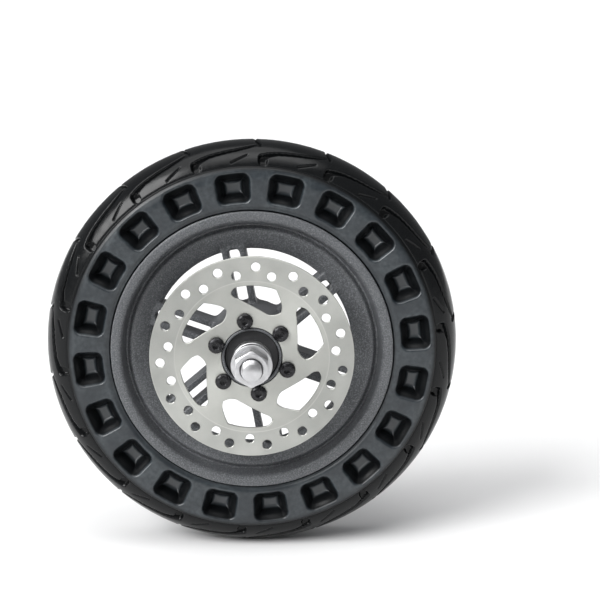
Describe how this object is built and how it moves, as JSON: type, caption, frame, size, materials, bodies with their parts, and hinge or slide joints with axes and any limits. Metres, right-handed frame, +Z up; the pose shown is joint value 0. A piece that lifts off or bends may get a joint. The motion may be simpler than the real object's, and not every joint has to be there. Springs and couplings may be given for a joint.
{
  "type": "scooter wheel with brake disc",
  "caption": "Unpowered scooter rear wheel with a pocketed solid tyre, a cast twin-bar rim, a drilled brake disc and a threaded axle on sealed bearings.",
  "frame": {"origin": "on the axle's centre line, half way between its two ends and half way across the tyre", "axes": "+Y along the axle, away from the brake disc; +X forward and +Z up when the disc is on the viewer's side"},
  "size_m": [0.2476, 0.15, 0.2476],
  "materials": {
    "tyre_rubber": "satin moulded solid rubber",
    "rim_coating": "cast aluminium in a dark grey fine-textured powder coat",
    "disc_stainless": "ground stainless steel",
    "black_steel": "black oxide",
    "bearing_steel": "polished bearing steel",
    "zinc_steel": "bright zinc plate",
    "seal_rubber": "matt black nitrile"
  },
  "bodies": {
    "axle": {"axle": "zinc_steel", "bearing_spacer": "zinc_steel", "bearing_inner_race_disc_side": "bearing_steel", "bearing_inner_race_far_side": "bearing_steel", "axle_bush_disc_side": "zinc_steel", "axle_bush_far_side": "zinc_steel", "washer_disc_side": "zinc_steel", "washer_far_side": "zinc_steel", "axle_nut_disc_side": "zinc_steel", "axle_nut_far_side": "zinc_steel"},
    "wheel": {"tyre": "tyre_rubber", "rim_casting": "rim_coating", "brake_disc": "disc_stainless", "disc_bolt_1": "black_steel", "disc_bolt_2": "black_steel", "disc_bolt_3": "black_steel", "disc_bolt_4": "black_steel", "disc_bolt_5": "black_steel", "disc_bolt_6": "black_steel", "bearing_outer_race_disc_side": "bearing_steel", "bearing_outer_race_far_side": "bearing_steel", "bearing_seal_outboard_disc_side": "seal_rubber", "bearing_seal_inboard_disc_side": "seal_rubber", "bearing_seal_outboard_far_side": "seal_rubber", "bearing_seal_inboard_far_side": "seal_rubber", "dust_cap_disc_side": "seal_rubber", "dust_cap_far_side": "seal_rubber"},
    "balls_disc_side": {"bearing_ball_cage_disc_side": "bearing_steel"},
    "balls_far_side": {"bearing_ball_cage_far_side": "bearing_steel"}
  },
  "joints": [
    {"name": "wheel_spin", "type": "hinge", "parent": "axle", "child": "wheel", "pos_m": [0, 0, 0], "axis": [0, 1, 0], "continuous": true},
    {"name": "cage_spin_disc_side", "type": "hinge", "parent": "axle", "child": "balls_disc_side", "pos_m": [0, -0.028, 0], "axis": [0, 1, 0], "continuous": true},
    {"name": "cage_spin_far_side", "type": "hinge", "parent": "axle", "child": "balls_far_side", "pos_m": [0, 0.028, 0], "axis": [0, 1, 0], "continuous": true}
  ],
  "couplings": [
    {"joint": "cage_spin_disc_side", "follows": "wheel_spin", "ratio": 0.619},
    {"joint": "cage_spin_far_side", "follows": "wheel_spin", "ratio": 0.619}
  ]
}
